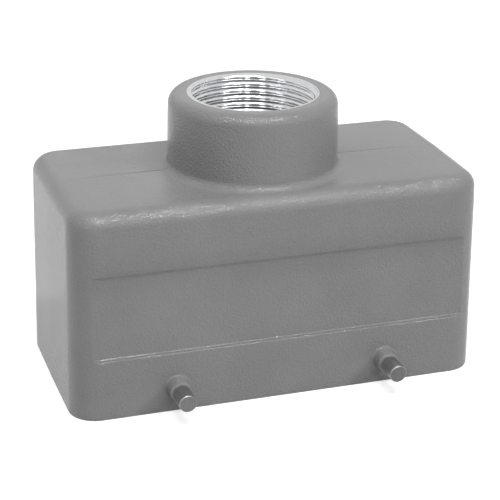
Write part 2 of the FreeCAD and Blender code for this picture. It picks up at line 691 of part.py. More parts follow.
# Earth plates: each hooked into one end of the insert body, with a blade for the mating side
plate_slots = []
plates = []
fixing_screws = []
washers = []
earth_screws = []
washer_low = f"{plate_low}-washer_thickness"
head_low = f"{washer_low}-fixing_head_height"
end_x = "block_length/2"
for label, sign in (("left", -1), ("right", 1)):
    inner_x = f"{end_x}-plate_tongue"
    plate_x = both(sign, inner_x, f"{inner_x}+plate_length")
    plate_y = ("-block_width/2", "block_width/2")
    slab = box(f"plate_slab_{label}", plate_x, plate_y, (plate_low, "post_face"))
    slot_x = both(sign, f"{inner_x}-chamber_gap", f"{inner_x}+plate_length")
    slot_y = ("-block_width", "block_width")
    slot_z = (plate_low, "post_face+chamber_gap")
    plate_slots.append(box(f"plate_slot_{label}", slot_x, slot_y, slot_z))
    blade = box(
        f"blade_{label}",
        both(sign, f"{end_x}+blade_offset", f"{end_x}+blade_offset+blade_thickness"),
        ("-blade_width/2", "blade_width/2"),
        ("shroud_face+blade_setback", plate_low),
    )
    holes = []
    for side, sign_y in (("front", -1), ("back", 1)):
        spot = f"{label}_{side}"
        x, y = f"{sign}*{post_x}", f"{sign_y}*{post_y}"
        radius = "post_hole+screw_hole_play"
        holes.append(cylinder(f"plate_hole_{spot}", radius, "plate_thickness", x, y, plate_low))
        ring_place = ("washer_thickness", x, y, washer_low)
        disc = cylinder(f"washer_disc_{spot}", "washer_radius", *ring_place)
        eye = cylinder(f"washer_hole_{spot}", radius, *ring_place)
        washers.append(cut(f"washer_{spot}", disc, [eye]))
        screw = turned(
            f"fixing_screw_{spot}",
            [
                ("0", head_low),
                ("fixing_head", head_low),
                ("fixing_head", washer_low),
                ("post_hole-fit", washer_low),
                ("post_hole-fit", f"{washer_low}+fixing_length"),
                ("0", f"{washer_low}+fixing_length"),
            ],
        )
        place(screw, x, y)
        fixing_screws.append(screw)
    plates.append(cut(f"earth_plate_{label}", joined(f"plate_solid_{label}", [slab, blade]), holes))

    saddle_near = f"{end_x}+saddle_offset"
    saddle_far = f"{saddle_near}+saddle_length"
    saddle_x = both(sign, saddle_near, saddle_far)
    saddle_top = "post_face+saddle_height"
    saddle_y = ("-saddle_width/2", "saddle_width/2")
    saddle = box(f"saddle_{label}", saddle_x, saddle_y, ("post_face", saddle_top))
    hole_x = f"{sign}*({saddle_near}+saddle_hole_offset)"
    hole_z = f"{saddle_top}-saddle_hole_depth"
    wire = cylinder(f"saddle_hole_{label}", "saddle_hole", "saddle_hole_depth", hole_x, "0", hole_z)
    screw_z = "post_face+saddle_height/2"
    inward = FreeCAD.Rotation(V(0, 1, 0), -90 * sign)
    outer_x = f"{sign}*({saddle_far})"
    thread_length = "saddle_length-saddle_hole_offset"
    thread = cylinder(
        f"earth_hole_{label}", "earth_radius", thread_length, outer_x, "0", screw_z, inward
    )
    cut(f"earth_terminal_{label}", saddle, [wire, thread])
    earth = turned(
        f"earth_screw_{label}",
        [
            ("0", "-earth_head_height"),
            ("earth_head", "-earth_head_height"),
            ("earth_head", "0"),
            ("earth_radius-fit", "0"),
            ("earth_radius-fit", "earth_length"),
            ("0", "earth_length"),
        ],
    )
    place(earth, outer_x, "0", screw_z, inward)
    earth_screws.append(earth)

saddle_end = f"{end_x}+saddle_offset+saddle_length+earth_head_height-slot_depth"
earth_slots = [
    box(
        f"earth_slot_{i}",
        both(sign, saddle_end, "hood_length/2"),
        ("-earth_head", "earth_head"),
        (f"{screw_z}-slot_width/2", f"{screw_z}+slot_width/2"),
    )
    for i, sign in enumerate((-1, 1))
]
cut("earth_screws", group("earth_screw_pair", earth_screws), earth_slots)
group("spring_washers", washers)
fixing_slots = [
    box(
        f"fixing_slot_{i}",
        ("-hood_length/2", "hood_length/2"),
        (f"{sign}*{post_y}-slot_width/2", f"{sign}*{post_y}+slot_width/2"),
        (f"{head_low}-slot_depth", f"{head_low}+slot_depth"),
    )
    for i, sign in enumerate((-1, 1))
]
cut("fixing_screws", group("fixing_screw_set", fixing_screws), fixing_slots)

chambered = cut("insert_solid", joined("insert_blocks", [shroud, rear]), [recess])
keyed = joined("insert_keyed", [chambered, *keys])
cut("insert_body", keyed, [*chambers, *plate_slots])

NODES = ["hood_casting", *[label for label, _, _ in PEGS], "insert_body", "terminal_screws"]
NODES += [contact.Name for contact in contacts]
NODES += [plate.Name for plate in plates]
NODES += ["earth_terminal_left", "earth_terminal_right", "earth_screws"]
NODES += ["spring_washers", "fixing_screws"]

doc.recompute()
failed = [item.Name for item in doc.Objects if {"Invalid", "Error"} & set(item.State)]
if failed:
    raise RuntimeError(f"these did not build: {failed}")

os.makedirs("parts", exist_ok=True)
for name in NODES:
    shape = doc.getObject(name).Shape
    if shape.isNull() or not shape.isValid():
        raise RuntimeError(f"{name} has no sound shape")
    doc.getObject(name).Label = name
    shape.exportStep(f"parts/{name}.step")
    low, high = shape.BoundBox.ZMin, shape.BoundBox.ZMax
    print(f"{name}: {len(shape.Solids)} solid(s), {shape.Volume:.1f} mm3, z {low:.2f} to {high:.2f}")
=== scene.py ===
"""Looks of the cable hood of a heavy duty rectangular connector with its pin insert.

The hood stands on its rim at the origin. Its long side runs along X, its front faces -Y and
the cable leaves upwards. Sizes of the pieces are in millimetres, and meshes are in metres.
"""

import logging
import math
from dataclasses import dataclass, field
from enum import Enum
from typing import Callable, Union

import bmesh
import bpy
import numpy as np
from mathutils import Matrix, Vector

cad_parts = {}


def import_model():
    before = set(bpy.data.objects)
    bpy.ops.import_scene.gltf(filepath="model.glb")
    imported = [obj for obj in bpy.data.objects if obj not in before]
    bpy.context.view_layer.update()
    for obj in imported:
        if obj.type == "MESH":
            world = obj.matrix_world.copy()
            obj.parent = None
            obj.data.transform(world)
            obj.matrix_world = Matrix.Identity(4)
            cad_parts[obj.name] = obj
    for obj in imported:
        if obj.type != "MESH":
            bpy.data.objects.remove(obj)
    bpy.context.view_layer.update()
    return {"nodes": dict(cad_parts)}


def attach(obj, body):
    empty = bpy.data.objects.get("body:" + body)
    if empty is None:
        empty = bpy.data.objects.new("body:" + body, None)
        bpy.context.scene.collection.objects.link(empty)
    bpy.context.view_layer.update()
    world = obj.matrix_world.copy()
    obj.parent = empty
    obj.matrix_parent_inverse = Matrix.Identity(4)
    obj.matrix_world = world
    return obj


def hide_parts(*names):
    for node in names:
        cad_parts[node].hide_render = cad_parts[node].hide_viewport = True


MM = 0.001
SHARP_ANGLE = math.radians(35)
LAMP_TARGET = 0.04
PLATING_SPAN = (0.72, 1.16)
log = logging.getLogger("connector_hood")


class Slot(Enum):
    """Names of the object's material slots."""

    COAT = "grey_coat"
    BARE = "bare_aluminium"
    PEG = "peg_steel"
    PLASTIC = "insert_plastic"
    CONTACT = "contact_silver"
    EARTH = "earth_steel"
    SCREW = "screw_steel"


# Node trees


class Field:
    """A value inside a node tree that takes part in arithmetic."""

    def __init__(self, tree: "Tree", socket: bpy.types.NodeSocket) -> None:
        """Keeps the tree and the socket that gives the value."""
        self.tree = tree
        self.socket = socket

    def math(self, operation: str, *others: "Value") -> "Field":
        """The result of a math node on this value and others."""
        return self.tree.math(operation, self, *others)

    def __add__(self, other: "Value") -> "Field":
        """This value plus another."""
        return self.math("ADD", other)

    def __sub__(self, other: "Value") -> "Field":
        """This value minus another."""
        return self.math("SUBTRACT", other)

    def __rsub__(self, other: "Value") -> "Field":
        """Another value minus this one."""
        return self.tree.math("SUBTRACT", other, self)

    def __mul__(self, other: "Value") -> "Field":
        """This value times another."""
        return self.math("MULTIPLY", other)

    def __truediv__(self, other: "Value") -> "Field":
        """This value divided by another."""
        return self.math("DIVIDE", other)

    __radd__ = __add__

    def ramp(self, low: float, high: float) -> "Field":
        """A smooth rise from 0 at one value to 1 at another.

        Args:
            low: where the result is 0.
            high: where the result is 1; it may be the smaller of the two.

        Returns:
            The field from 0 to 1.
        """
        return self.tree.blend(self, low, high, 0.0, 1.0)


Value = Union[Field, bpy.types.NodeSocket, float, int, tuple]
Rule = Callable[..., Field]


class Tree:
    """A node tree under construction, with short calls for its nodes."""

    def __init__(self, tree: bpy.types.NodeTree) -> None:
        """Keeps the Blender node tree that the calls add to."""
        self.tree = tree

    def put(self, socket: bpy.types.NodeSocket, value: Value) -> None:
        """Links a value to an input, or writes it there when it is a plain number.

        Args:
            socket: the input.
            value: a field, a socket or a plain value.
        """
        if isinstance(value, Field):
            self.tree.links.new(value.socket, socket)
        elif isinstance(value, bpy.types.NodeSocket):
            self.tree.links.new(value, socket)
        else:
            socket.default_value = value

    def node(self, kind: str, settings: dict | None = None, **inputs: Value) -> bpy.types.Node:
        """Adds a node.

        Args:
            kind: the node's type.
            settings: properties of the node.
            inputs: values of its inputs, with an underscore for each space of a name.

        Returns:
            The new node.
        """
        node = self.tree.nodes.new(kind)
        for name, value in (settings or {}).items():
            setattr(node, name, value)
        for name, value in inputs.items():
            self.put(node.inputs[name.replace("_", " ")], value)
        return node

    def math(self, operation: str, *values: Value) -> Field:
        """Adds a math node.

        Args:
            operation: the node's operation.
            values: its inputs in order.

        Returns:
            The result.
        """
        node = self.tree.nodes.new("ShaderNodeMath")
        node.operation = operation
        for socket, value in zip(node.inputs, values):
            self.put(socket, value)
        return Field(self, node.outputs[0])

    def blend(self, value: Value, low: float, high: float, start: float, end: float) -> Field:
        """Maps a span of one value smoothly to a span of another.

        Args:
            value: the field that is mapped.
            low: the value that gives start.
            high: the value that gives end.
            start: the result up to low.
            end: the result from high on.

        Returns:
            The mapped field.
        """
        flipped = low > high
        node = self.node(
            "ShaderNodeMapRange",
            {"interpolation_type": "SMOOTHSTEP"},
            Value=value,
            From_Min=min(low, high),
            From_Max=max(low, high),
            To_Min=end if flipped else start,
            To_Max=start if flipped else end,
        )
        return Field(self, node.outputs["Result"])

    def axes(self, vector: bpy.types.NodeSocket) -> list[Field]:
        """The X, Y and Z parts of a vector."""
        node = self.node("ShaderNodeSeparateXYZ", Vector=vector)
        return [Field(self, socket) for socket in node.outputs]


class GeometryTree(Tree):
    """A geometry node tree that ends in Realize Instances and Set Material."""

    def __init__(self, name: str, takes_mesh: bool = False) -> None:
        """Starts the tree.

        Args:
            name: the tree's name.
            takes_mesh: whether the tree reads the mesh of its object.
        """
        tree = bpy.data.node_groups.new(name, "GeometryNodeTree")
        super().__init__(tree)
        self.sizes: dict[str, float] = {}
        if takes_mesh:
            tree.interface.new_socket("Mesh", in_out="INPUT", socket_type="NodeSocketGeometry")
        tree.interface.new_socket("Material", in_out="INPUT", socket_type="NodeSocketMaterial")
        tree.interface.new_socket("Mesh", in_out="OUTPUT", socket_type="NodeSocketGeometry")
        self.entry = tree.nodes.new("NodeGroupInput")

    def size(self, name: str, value: float) -> Field:
        """Adds a named number to the tree's inputs.

        Args:
            name: the input's name.
            value: what the modifier sets it to.

        Returns:
            The field that reads it.
        """
        kind = "NodeSocketInt" if isinstance(value, int) else "NodeSocketFloat"
        self.tree.interface.new_socket(name, in_out="INPUT", socket_type=kind)
        self.sizes[name] = value
        return Field(self, self.entry.outputs[name])

    def finish(self, geometry: bpy.types.NodeSocket) -> None:
        """Closes the tree: realizes the instances, merges doubles and sets the material.

        Args:
            geometry: what the tree has made.
        """
        real = self.node("GeometryNodeRealizeInstances", Geometry=geometry)
        merged = self.node("GeometryNodeMergeByDistance", Geometry=real.outputs[0], Distance=1e-7)
        dressed = self.node(
            "GeometryNodeSetMaterial",
            Geometry=merged.outputs[0],
            Material=self.entry.outputs["Material"],
        )
        out = self.tree.nodes.new("NodeGroupOutput")
        self.tree.links.new(dressed.outputs[0], out.inputs["Mesh"])

    def piece(
        self, name: str, material: bpy.types.Material, base: bpy.types.Mesh | None = None
    ) -> bpy.types.Object:
        """Runs the tree on an object and keeps the result as a plain mesh.

        Args:
            name: the finished piece's name.
            material: its finish.
            base: the mesh that the tree reads, if it reads one.

        Returns:
            The finished object.
        """
        carrier = bpy.data.objects.new(f"{name}_carrier", base or bpy.data.meshes.new(name))
        bpy.context.scene.collection.objects.link(carrier)
        modifier = carrier.modifiers.new("nodes", "NODES")
        modifier.node_group = self.tree
        values = {"Material": material, **self.sizes}
        for item in self.tree.interface.items_tree:
            if item.in_out == "INPUT" and item.name in values:
                modifier[item.identifier] = values[item.name]
        depsgraph = bpy.context.evaluated_depsgraph_get()
        mesh = bpy.data.meshes.new_from_object(carrier.evaluated_get(depsgraph))
        carrier.modifiers.remove(modifier)
        bpy.data.objects.remove(carrier)
        return finished_piece(name, mesh, material)


# Meshes


def finished_piece(
    name: str, mesh: bpy.types.Mesh, material: bpy.types.Material
) -> bpy.types.Object:
    """Makes the object of a closed mesh: normals outwards, soft faces, sharp edges kept.

    Args:
        name: the piece's name.
        mesh: its mesh in metres, in the row frame.
        material: its finish.

    Returns:
        The object, riding on the only body.
    """
    work = bmesh.new()
    work.from_mesh(mesh)
    bmesh.ops.remove_doubles(work, verts=work.verts, dist=1e-7)
    bmesh.ops.recalc_face_normals(work, faces=work.faces)
    if work.calc_volume(signed=True) < 0:
        bmesh.ops.reverse_faces(work, faces=work.faces)
    work.to_mesh(mesh)
    work.free()
    mesh.name = name
    mesh.shade_smooth()
    mesh.set_sharp_from_angle(angle=SHARP_ANGLE)
    mesh.materials.clear()
    mesh.materials.append(material)
    piece = bpy.data.objects.new(name, mesh)
    bpy.context.scene.collection.objects.link(piece)
    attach(piece, "root")
    return piece


def mesh_from(points: np.ndarray, faces: list[tuple[int, ...]]) -> bpy.types.Mesh:
    """A mesh from points in millimetres.

    Args:
        points: rows of X, Y and Z.
        faces: corner numbers of each face.

    Returns:
        The mesh, in metres.
    """
    mesh = bpy.data.meshes.new("made")
    mesh.from_pydata((np.asarray(points, float) * MM).tolist(), [], faces)
    return mesh


def loop_faces(rows: int, columns: int, closed_rows: bool) -> list[tuple[int, ...]]:
    """Faces between rings of points.

    Args:
        rows: how many rings there are.
        columns: how many points each ring has; a ring is always closed.
        closed_rows: whether the last ring joins the first.

    Returns:
        The faces.
    """
    faces = []
    for i in range(rows if closed_rows else rows - 1):
        low, high = i * columns, (i + 1) % rows * columns
        for j in range(columns):
            k = (j + 1) % columns
            faces.append((low + j, low + k, high + k, high + j))
    return faces


def turned_mesh(profile: list[tuple[float, float]], steps: int = 64) -> bpy.types.Mesh:
    """A closed body turned about Z.

    Args:
        profile: radius and height of each corner, from one end of the axis to the other.
        steps: points round the axis.

    Returns:
        The mesh.
    """
    angles = np.arange(steps) * 2 * math.pi / steps
    ring = np.stack([np.cos(angles), np.sin(angles)], axis=1)
    inner = profile[1:-1]
    points = [(0.0, 0.0, profile[0][1])]
    for radius, height in inner:
        points += [(radius * x, radius * y, height) for x, y in ring]
    points.append((0.0, 0.0, profile[-1][1]))
    faces = [tuple(v + 1 for v in face) for face in loop_faces(len(inner), steps, False)]
    last = len(points) - 1
    for j in range(steps):
        k = (j + 1) % steps
        faces.append((0, 1 + k, 1 + j))
        faces.append((last, last - steps + j, last - steps + k))
    return mesh_from(np.array(points), faces)


def arc(
    centre: tuple[float, float], radius: float, start: float, end: float, steps: int
) -> list[tuple[float, float]]:
    """Points of an arc in a profile.

    Args:
        centre: its centre.
        radius: its radius.
        start: first angle in degrees.
        end: last angle in degrees.
        steps: how many points there are after the first.

    Returns:
        The points from start to end.
    """
    angles = np.radians(np.linspace(start, end, steps + 1))
    return [(centre[0] + radius * math.cos(a), centre[1] + radius * math.sin(a)) for a in angles]


def tint(colour: tuple[float, float, float], share: float) -> tuple[float, ...]:
    """A colour made darker or paler by a share, up to white."""
    return tuple(min(part * share, 1.0) for part in colour)


def smooth(value: np.ndarray | float) -> np.ndarray | float:
    """A smooth rise from 0 at 0 to 1 at 1."""
    t = np.clip(value, 0, 1)
    return t * t * (3 - 2 * t)


# Finishes


class Shader(Tree):
    """A material under construction with its principled shader."""

    def __init__(self, name: str, **constants: Value) -> None:
        """Starts the material.

        Args:
            name: the material's name.
            constants: values of the principled shader that are the same all over.
        """
        self.material = bpy.data.materials.new(name)
        self.material.use_nodes = True
        super().__init__(self.material.node_tree)
        self.tree.nodes.clear()
        self.surface = self.node("ShaderNodeBsdfPrincipled", **constants)
        out = self.tree.nodes.new("ShaderNodeOutputMaterial")
        self.tree.links.new(self.surface.outputs[0], out.inputs["Surface"])
        self.place = self.node("ShaderNodeTexCoord").outputs["Object"]

    def noise(self, grain: float, detail: float = 2.0, roughness: float = 0.5) -> Field:
        """Adds noise that is read at the object coordinates.

        Args:
            grain: its grain size in millimetres.
            detail: how many finer layers it has.
            roughness: how strong the finer layers are.

        Returns:
            The noise from 0 to 1.
        """
        node = self.node(
            "ShaderNodeTexNoise",
            Vector=self.place,
            Scale=1 / (grain * MM),
            Detail=detail,
            Roughness=roughness,
        )
        return Field(self, node.outputs["Fac"])

    def stretched_noise(self, grains: tuple[float, float, float], detail: float = 2.0) -> Field:
        """Adds noise that is drawn out along an axis.

        Args:
            grains: its grain sizes along X, Y and Z in millimetres.
            detail: how many finer layers it has.

        Returns:
            The noise from 0 to 1.
        """
        scale = tuple(1 / (g * MM) for g in grains)
        mapping = self.node("ShaderNodeMapping", Vector=self.place, Scale=scale)
        node = self.node(
            "ShaderNodeTexNoise", Vector=mapping.outputs[0], Scale=1.0, Detail=detail
        )
        return Field(self, node.outputs["Fac"])

    def colour(self, amount: Field, dark: tuple, pale: tuple) -> None:
        """Mixes the base colour between two colours.

        Args:
            amount: 0 for the first colour and 1 for the second.
            dark: the first colour.
            pale: the second colour.
        """
        mix = self.node("ShaderNodeMix", {"data_type": "RGBA"})
        self.put(mix.inputs["Factor"], amount)
        self.put(mix.inputs[6], (*dark, 1.0))
        self.put(mix.inputs[7], (*pale, 1.0))
        self.put(self.surface.inputs["Base Color"], mix.outputs[2])

    def relief(self, height: Field, depth: float) -> None:
        """Bumps the surface by a height field whose unit is the depth in millimetres."""
        bump = self.node("ShaderNodeBump", Height=height, Strength=1.0, Distance=depth * MM)
        self.put(self.surface.inputs["Normal"], bump.outputs[0])


@dataclass(frozen=True)
class PowderCoat:
    """Grey powder coat: glossy, with orange peel, over the cast hood.

    The peel, speck, cloud and seam sizes are in millimetres. The parting line runs along X on
    the roof as a faint relief. Painted shade darkens the coat's colour along it, standing in
    for the shade of the small step between the mould halves. Across it seam_fade gives the
    distances where it starts and where it is full, and along it seam_reach does, both from the
    middle. It lies between seam_low and seam_high.
    """

    grey: float = 0.185
    contrast: float = 0.24
    roughness: float = 0.035
    roughness_swing: float = 0.05
    peel: float = 0.42
    peel_depth: float = 0.22
    speck: float = 0.2
    speck_relief: float = 0.1
    cloud: float = 14.0
    seam_fade: tuple[float, float] = (0.65, 0.195)
    seam_relief: float = 0.5
    seam_reach: tuple[float, float] = (44.0, 20.0)
    seam_low: tuple[float, float] = (43.0, 45.0)
    seam_high: tuple[float, float] = (47.5, 47.0)

    def material(self) -> bpy.types.Material:
        """Builds the coat with its peel, specks and the faint parting line on the roof, whose
        darker colour is painted shade.

        Returns:
            The material.
        """
        coat = Shader("grey_powder_coat", IOR=1.5)
        peel = coat.noise(self.peel, 2.0, 0.45)
        speck = coat.noise(self.speck, 1.0)
        cloud = coat.noise(self.cloud, 3.0)
        x, y, z = [axis / MM for axis in coat.axes(coat.place)]
        # Mask of the parting line: it bumps the coat and also darkens its colour as painted shade
        # of its step.
        seam = y.math("ABSOLUTE").ramp(*self.seam_fade)
        near = x.math("ABSOLUTE").ramp(*self.seam_reach)
        line = seam * near * z.ramp(*self.seam_low) * z.ramp(*self.seam_high)
        # Random tone from cloud and specks, minus painted shade along the parting line.
        tone_and_seam_shade = (cloud * 0.5 + speck * 0.5) - line
        dark, pale = self.grey * (1 - self.contrast), self.grey * (1 + self.contrast)
        coat.colour(tone_and_seam_shade, (dark,) * 3, (pale,) * 3)
        gloss = self.roughness + (cloud - 0.5) * self.roughness_swing
        coat.put(coat.surface.inputs["Roughness"], gloss)
        relief = peel + speck * self.speck_relief - line * self.seam_relief
        coat.relief(relief, self.peel_depth)
        return coat.material


@dataclass(frozen=True)
class TurnedSteel:
    """Stainless pin steel, turned along Y.

    Its cut ends, which lie more than end millimetres from the middle, keep only the share
    end_shade of its side's brightness. The lines and the mottle are grain sizes in millimetres.
    """

    bright: float = 0.34
    contrast: float = 0.75
    roughness: float = 0.42
    roughness_swing: float = 0.2
    lines: tuple[float, float, float] = (6.0, 0.12, 6.0)
    mottle: float = 0.35
    depth: float = 0.0048
    end: float = 31.3
    end_edge: float = 0.07
    end_shade: float = 0.4

    def material(self) -> bpy.types.Material:
        """Builds the steel with faint turning lines.

        Returns:
            The material.
        """
        steel = Shader("turned_steel", Metallic=1.0)
        rings = steel.stretched_noise(self.lines, 3.0)
        mottle = steel.noise(self.mottle, 3.0)
        _, y, _ = steel.axes(steel.place)
        side = (y / MM).math("ABSOLUTE").ramp(self.end + self.end_edge, self.end)
        dark, pale = self.bright * (1 - self.contrast), self.bright * (1 + self.contrast)
        steel.colour(
            (rings * 0.5 + mottle * 0.5) * (side * (1 - self.end_shade) + self.end_shade),
            (dark, dark, dark * 1.02),
            (pale, pale, pale * 1.01),
        )
        gloss = self.roughness + (mottle - 0.5) * self.roughness_swing
        steel.put(steel.surface.inputs["Roughness"], gloss)
        steel.relief(rings + mottle, self.depth)
        return steel.material


@dataclass(frozen=True)
class Grained:
    """A finish of fine lines and soft spots, for cut or plated metal and filled plastic.

    Sizes are in millimetres. Each mix says how much the lines and the spots weigh: in the step
    from the dark colour to the pale one, in the swing of the roughness, and in the relief.
    """

    name: str
    dark: tuple[float, ...]
    pale: tuple[float, ...]
    roughness: float
    lines: tuple[float, float, float]
    spots: float = 2.2
    depth: float = 0.006
    metallic: float = 1.0
    lines_detail: float = 3.0
    spots_detail: float = 4.0
    spots_roughness: float = 0.6
    colour_mix: tuple[float, float] = (0.5, 0.5)
    rough_mix: tuple[float, float] = (0.0, 0.24)
    relief_mix: tuple[float, float] = (1.0, 0.0)

    def material(self) -> bpy.types.Material:
        """Builds the finish.

        Returns:
            The material.
        """
        shader = Shader(self.name, Metallic=self.metallic, IOR=1.5)
        lines = shader.stretched_noise(self.lines, self.lines_detail)
        spots = shader.noise(self.spots, self.spots_detail, self.spots_roughness)
        colour, rough, relief = [
            lines * line_share + spots * spot_share
            for line_share, spot_share in (self.colour_mix, self.rough_mix, self.relief_mix)
        ]
        middle = self.roughness - sum(self.rough_mix) / 2
        shader.colour(colour, self.dark, self.pale)
        shader.put(shader.surface.inputs["Roughness"], rough + middle)
        shader.relief(relief, self.depth)
        return shader.material


def plated(
    name: str, colour: tuple[float, float, float], roughness: float, lines: tuple
) -> bpy.types.Material:
    """A plated metal with drawn or rolled grain and stains within PLATING_SPAN of its colour.

    Args:
        name: the material's name.
        colour: its middle colour.
        roughness: its middle roughness.
        lines: grain sizes of its lines along X, Y and Z.

    Returns:
        The material.
    """
    dark, pale = [tint(colour, share) for share in PLATING_SPAN]
    return Grained(name, dark, pale, roughness, lines).material()


class Finishes:
    """Every finish of the object, built once."""

    def __init__(self) -> None:
        """Builds the materials."""
        bare = Grained(
            "cut_aluminium",
            dark=(0.7508, 0.7624, 0.774),
            pale=(0.8934, 0.9025, 0.9116),
            roughness=0.1,
            lines=(9.0, 9.0, 0.09),
            spots=1.5,
            depth=0.003,
            spots_detail=3.0,
            spots_roughness=0.5,
            colour_mix=(0.0, 1.0),
            rough_mix=(0.12, 0.0),
        )
        plastic = Grained(
            "filled_plastic",
            dark=(0.3096, 0.3065, 0.2972),
            pale=(0.4032, 0.4012, 0.3911),
            roughness=0.5,
            lines=(6.0, 1.2, 3.0),
            spots=0.12,
            depth=0.01,
            metallic=0.0,
            lines_detail=4.0,
            spots_detail=3.0,
            spots_roughness=0.5,
            colour_mix=(0.6, 0.4),
            rough_mix=(0.16, 0.0),
            relief_mix=(0.0, 1.0),
        )
        self.coat = PowderCoat().material()
        self.bare = bare.material()
        self.peg = TurnedSteel().material()
        self.plastic = plastic.material()
        self.silver = plated("silver_plate", (0.82, 0.81, 0.77), 0.28, (0.4, 0.4, 3.0))
        self.earth = plated("nickel_sheet", (0.66, 0.66, 0.66), 0.34, (4.0, 0.3, 4.0))
        self.screw = plated("zinc_plate", (0.6, 0.61, 0.63), 0.3, (0.25, 0.25, 2.0))


# Pieces


@dataclass
class Outline:
    """Plan of the hood at any height: a rounded rectangle whose ends lean inwards."""

    length: float = 93.5
    width: float = 46.0
    corner: float = 6.2
    end_draft: float = 0.9
    side_draft: float = 0.2
    lean: float = 0.4

    def half(self, z: float) -> tuple[float, float]:
        """Half length and half width at a height."""
        ends, sides = [math.tan(math.radians(a)) for a in (self.end_draft, self.side_draft)]
        return self.length / 2 - z * ends, self.width / 2 - z * sides


@dataclass
class HoodShell:
    """The cast hood: walls, roof, boss and hollow as one closed skin.

    The skin is made of upright columns round the plan. Each starts at the thread's mouth, runs
    over the boss, the roof and the outer wall to the rim, and up the inside to the thread. The
    fields after ray_start only set how close its points lie.
    """

    plan: Outline = field(default_factory=Outline)
    height: float = 46.8
    top_round: float = 3.5
    rim_round: float = 0.4
    wall: float = 3.0
    roof_wall: float = 3.5
    inner_round: float = 2.0
    rebate_depth: float = 4.0
    rebate_wall: float = 2.2
    panel_low: float = 13.65
    panel_high: float = 32.95
    panel_half: float = 42.2
    panel_depth: float = 0.4
    panel_edge: float = 0.24
    panel_edge_rise: float = 0.08
    panel_end_edge: float = 0.3
    ledge_rise: float = 0.62
    step_rise: float = 0.17
    boss_radius: float = 18.6
    boss_top: float = 63.0
    boss_draft: float = 1.0
    boss_round: float = 2.4
    foot_round: float = 1.8
    mouth_radius: float = 14.5
    thread_end: float = 48.4
    entry_radius: float = 13.4
    ray_start: float = 28.0
    boss_sink: float = 0.5
    rebate_edge: float = 0.12
    end_steps: int = 9
    corner_step: int = 5
    panel_end: tuple[float, float, float] = (66.0, 76.0, 0.75)
    side_steps: int = 5
    ray_steps: int = 18
    round_steps: int = 45
    roof_steps: int = 79
    roof_rows: int = 30
    row_length: float = 3.0
    row_turn: float = 7.0
    rim_row: float = 1.2
    rebate_row: float = 2.0
    wall_rows: tuple[float, ...] = (27, 21, 16, 12, 8.5, 5.75, 3, 1.2)
    hollow_rows: tuple[float, ...] = (10, 17, 25, 33)

    def columns(self) -> list[tuple[str, float]]:
        """The upright lines of one quarter of the shell, from the end to the middle of a side.

        Returns:
            A kind and a place for each: the share of an end, the angle of a corner, or the
            share of a side.
        """
        ends = [("end", t) for t in np.linspace(0, 1, self.end_steps + 1)[:-1]]
        angles = sorted({*range(0, 91, self.corner_step), *np.arange(*self.panel_end)})
        corners = [("corner", math.radians(a)) for a in angles]
        flat = self.plan.length / 2 - self.plan.corner
        half = self.plan.width / 2
        sides = [x / flat for x in np.linspace(flat, self.ray_start, self.side_steps + 1)[1:]]
        start = math.degrees(math.atan2(half, self.ray_start))
        steps = np.radians(np.linspace(start, 90, self.ray_steps + 1)[1:])
        sides += [half / math.tan(a) / flat for a in steps]
        return ends + corners + [("side", s) for s in sides]

    def plan_point(self, column: tuple[str, float], z: float, inset: float) -> np.ndarray:
        """Where a column stands in plan.

        Args:
            column: its kind and place.
            z: the height.
            inset: how far inside the wall.

        Returns:
            X and Y.
        """
        kind, place = column
        half_x, half_y = self.plan.half(z)
        centre_x, centre_y = half_x - self.plan.corner, half_y - self.plan.corner
        if kind == "end":
            x, y = half_x - inset, place * centre_y
        elif kind == "corner":
            radius = self.plan.corner - inset
            x = centre_x + radius * math.cos(place)
            y = centre_y + radius * math.sin(place)
        else:
            y = half_y - inset
            x = place * centre_x
            pull = smooth((centre_x - x) / (centre_x - self.ray_start))
            x *= 1 - pull * inset / half_y
        return np.array([x - y * math.tan(math.radians(self.plan.lean)), y])

    def ridge(self, y: float, drop: float = 0.0) -> float:
        """Height of the roof at a distance from the parting plane."""
        return self.height - drop - abs(y) * math.tan(math.radians(self.plan.lean))

    def boss_side(self, z: float) -> float:
        """Radius of the boss at a height."""
        return self.boss_radius + (self.boss_top - z) * math.tan(math.radians(self.boss_draft))

    def roof_line(self, column: tuple[str, float]) -> np.ndarray:
        """The line of a column over the edge round and the roof to the boss.

        Args:
            column: its kind and place.

        Returns:
            Rows of X, Y, Z and the turn of the surface in degrees.
        """
        points = []
        for turn in np.linspace(0, 90, self.round_steps + 1):
            inset = self.top_round * (1 - math.cos(math.radians(turn)))
            x, y = self.plan_point(column, self.height, inset)
            drop = self.top_round * (1 - math.sin(math.radians(turn)))
            points.append((x, y, self.ridge(y, drop), turn))
        x, y = points[-1][:2]
        reach = math.hypot(x, y)
        last = self.boss_side(self.height) - self.boss_sink
        for radius in np.linspace(reach, last, self.roof_steps + 1)[1:]:
            scale = radius / reach
            points.append((x * scale, y * scale, self.ridge(y * scale), 90))
        return np.array(points)

    def foot(self, line: np.ndarray) -> tuple[int, tuple[float, float]]:
        """Finds the hollow round between the boss and what the line passes over.

        Args:
            line: the roof line of a column.

        Returns:
            The number of the line's point where the round starts, and the round's centre as
            radius and height.
        """
        radii = np.hypot(line[:, 0], line[:, 1])
        low, high = self.height - 1, self.height + self.foot_round + 1
        for _ in range(40):
            middle = (low + high) / 2
            centre = self.boss_side(middle) + self.foot_round
            gap = np.hypot(radii - centre, line[:, 2] - middle).min()
            low, high = (middle, high) if gap < self.foot_round else (low, middle)
        centre = (self.boss_side(high) + self.foot_round, high)
        distance = np.hypot(radii - centre[0], line[:, 2] - centre[1])
        return int(distance.argmin()), centre

